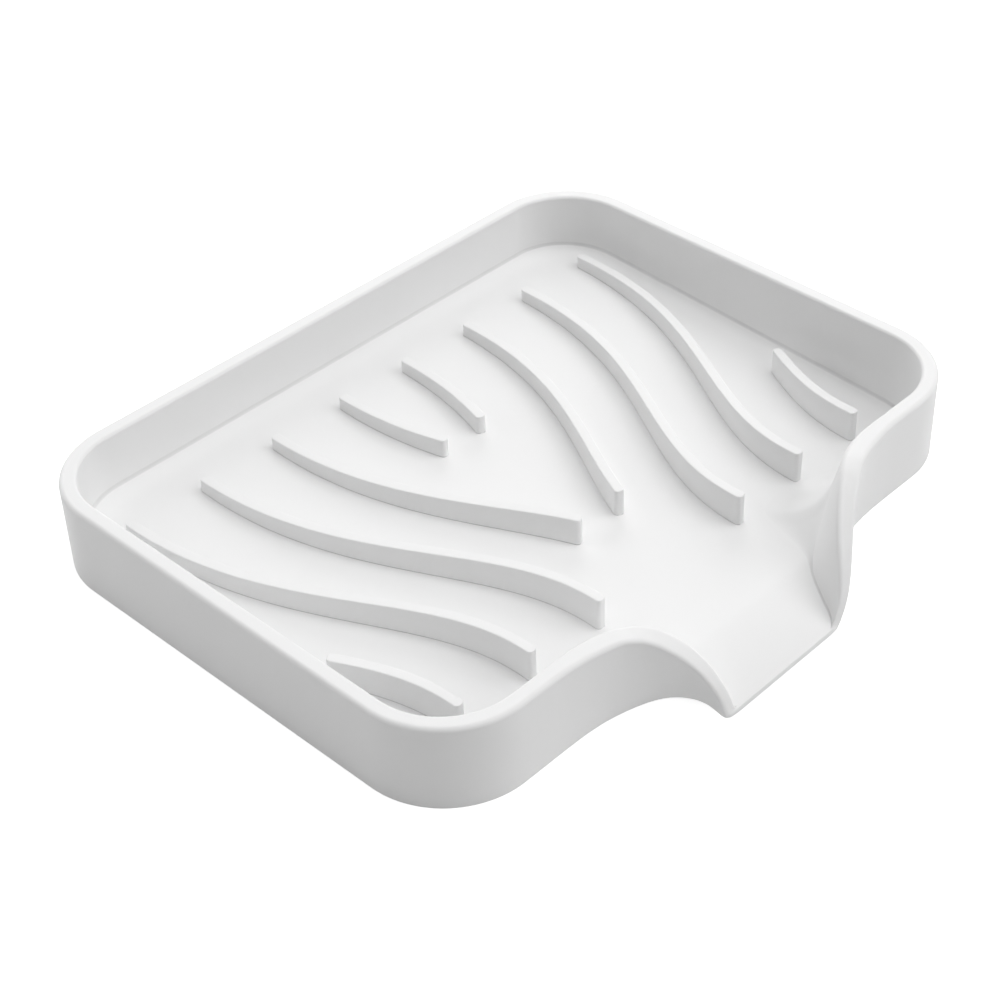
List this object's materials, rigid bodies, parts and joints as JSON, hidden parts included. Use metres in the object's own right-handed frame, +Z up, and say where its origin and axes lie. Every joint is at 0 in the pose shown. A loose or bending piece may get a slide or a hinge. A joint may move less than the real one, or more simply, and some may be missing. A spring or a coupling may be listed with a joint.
{
  "type": "soap dish",
  "caption": "Self-draining soap dish: shallow rectangular tray with a sloping floor, curved drainage ribs and a pouring spout that hangs over a basin's edge.",
  "frame": {"origin": "middle of the tray's flat underside, on the surface that the dish stands on", "axes": "+Z up; -Y towards the spout; +X along the long edge, to the right of someone who faces along +Y"},
  "size_m": [0.13, 0.108, 0.0218],
  "materials": {
    "silicone_white": "matte"
  },
  "bodies": {
    "root": {"tray": "silicone_white", "rib_left_1": "silicone_white", "rib_left_2": "silicone_white", "rib_left_3": "silicone_white", "rib_left_4": "silicone_white", "rib_left_5": "silicone_white", "rib_right_1": "silicone_white", "rib_right_2": "silicone_white", "rib_right_3": "silicone_white", "rib_right_4": "silicone_white", "rib_right_5": "silicone_white"}
  },
  "joints": []
}
